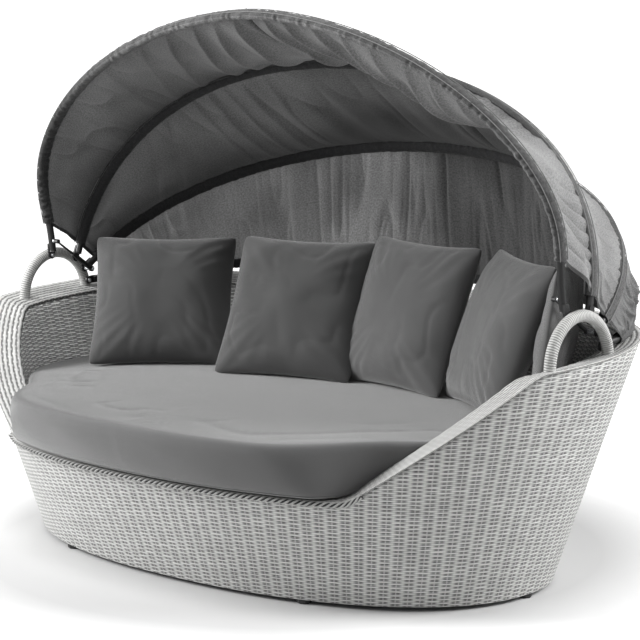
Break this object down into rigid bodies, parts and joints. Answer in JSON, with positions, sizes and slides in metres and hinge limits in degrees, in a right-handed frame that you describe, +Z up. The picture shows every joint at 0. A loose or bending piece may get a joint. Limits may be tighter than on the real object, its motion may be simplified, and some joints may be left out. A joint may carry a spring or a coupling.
{
  "type": "outdoor daybed with canopy",
  "caption": "Oval woven daybed with a thick seat mattress, scatter pillows, loop handles and a cloth canopy on bows that folds back.",
  "frame": {"origin": "on the floor, midway between the extremes of length and depth", "axes": "+X to the right as seen from the front, +Y to the back, +Z up"},
  "size_m": [1.9476, 1.2592, 1.3933],
  "materials": {
    "wicker_light": "woven flat resin strand",
    "wicker_inside": "woven flat resin strand",
    "frame_aluminium": "mill finish tube",
    "black_metal": "satin black powder coat",
    "bright_steel": "bright bolts",
    "canopy_fabric": "thin woven cloth",
    "seat_fabric": "woven upholstery cloth",
    "glide_plastic": "matte"
  },
  "bodies": {
    "tub": {"outer_weave": "wicker_light", "inner_weave": "wicker_inside", "rim_weave": "wicker_light", "front_braid": "wicker_light", "base_ring": "frame_aluminium", "deck_ring": "frame_aluminium", "rim_ring": "frame_aluminium", "upright_left_1": "frame_aluminium", "upright_right_1": "frame_aluminium", "upright_left_2": "frame_aluminium", "upright_right_2": "frame_aluminium", "upright_left_3": "frame_aluminium", "upright_right_3": "frame_aluminium", "upright_left_4": "frame_aluminium", "upright_right_4": "frame_aluminium", "deck_rail_left": "frame_aluminium", "deck_rail_centre": "frame_aluminium", "deck_rail_right": "frame_aluminium", "seat_deck": "wicker_inside", "glide_left_1": "glide_plastic", "glide_right_1": "glide_plastic", "glide_left_2": "glide_plastic", "glide_right_2": "glide_plastic", "glide_left_3": "glide_plastic", "glide_right_3": "glide_plastic", "bow_4": "black_metal", "sleeve_4": "canopy_fabric", "handle_left": "wicker_light", "handle_right": "wicker_light", "pivot_bolt_1_left": "bright_steel", "pivot_bolt_1_right": "bright_steel", "pivot_bolt_2_left": "bright_steel", "pivot_bolt_2_right": "bright_steel", "pivot_bolt_3_left": "bright_steel", "pivot_bolt_3_right": "bright_steel", "pivot_bolt_4_left": "bright_steel", "pivot_bolt_4_right": "bright_steel", "mattress": "seat_fabric", "pillow_1": "seat_fabric", "pillow_2": "seat_fabric", "pillow_3": "seat_fabric", "pillow_4": "seat_fabric", "pillow_5": "seat_fabric"},
    "front_bow": {"bow_1": "black_metal", "sleeve_1": "canopy_fabric", "canopy_front": "canopy_fabric", "ball_stud_left": "bright_steel", "ball_stud_right": "bright_steel"},
    "second_bow": {"bow_2": "black_metal", "sleeve_2": "canopy_fabric", "canopy_middle": "canopy_fabric"},
    "third_bow": {"bow_3": "black_metal", "sleeve_3": "canopy_fabric", "canopy_rear": "canopy_fabric"},
    "strut_tube_left": {"strut_tube_left": "black_metal"},
    "strut_tube_right": {"strut_tube_right": "black_metal"},
    "strut_rod_left": {"strut_rod_left": "black_metal"},
    "strut_rod_right": {"strut_rod_right": "black_metal"}
  },
  "joints": [
    {"name": "front_bow_fold", "type": "hinge", "parent": "tub", "child": "front_bow", "pos_m": [0, -0.03569, 0.69454], "axis": [-1, 0, 0], "range_deg": [0, 80], "deforming": ["canopy_front"]},
    {"name": "second_bow_fold", "type": "hinge", "parent": "tub", "child": "second_bow", "pos_m": [0, 0.05358, 0.6794], "axis": [-1, 0, 0], "range_deg": [0, 57], "deforming": ["canopy_middle"]},
    {"name": "third_bow_fold", "type": "hinge", "parent": "tub", "child": "third_bow", "pos_m": [0, 0.08586, 0.64726], "axis": [-1, 0, 0], "range_deg": [0, 24], "deforming": ["canopy_rear"]},
    {"name": "strut_left_turn", "type": "hinge", "parent": "tub", "child": "strut_tube_left", "pos_m": [-0.86549, 0.08586, 0.64726], "axis": [-1, 0, 0], "range_deg": [0, 5.48]},
    {"name": "strut_left_slide", "type": "slide", "parent": "strut_tube_left", "child": "strut_rod_left", "axis": [0, 0.8222, -0.5692], "range_m": [0, 0.0537]},
    {"name": "strut_right_turn", "type": "hinge", "parent": "tub", "child": "strut_tube_right", "pos_m": [0.86549, 0.08586, 0.64726], "axis": [-1, 0, 0], "range_deg": [0, 5.48]},
    {"name": "strut_right_slide", "type": "slide", "parent": "strut_tube_right", "child": "strut_rod_right", "axis": [0, 0.8222, -0.5692], "range_m": [0, 0.0537]}
  ],
  "couplings": [
    {"joint": "second_bow_fold", "follows": "front_bow_fold", "ratio": 0.7125},
    {"joint": "third_bow_fold", "follows": "front_bow_fold", "ratio": 0.3},
    {"joint": "strut_left_turn", "follows": "front_bow_fold", "ratio": 0.066},
    {"joint": "strut_left_slide", "follows": "front_bow_fold", "m_per_rad": 0.038102},
    {"joint": "strut_right_turn", "follows": "front_bow_fold", "ratio": 0.066},
    {"joint": "strut_right_slide", "follows": "front_bow_fold", "m_per_rad": 0.038102}
  ]
}
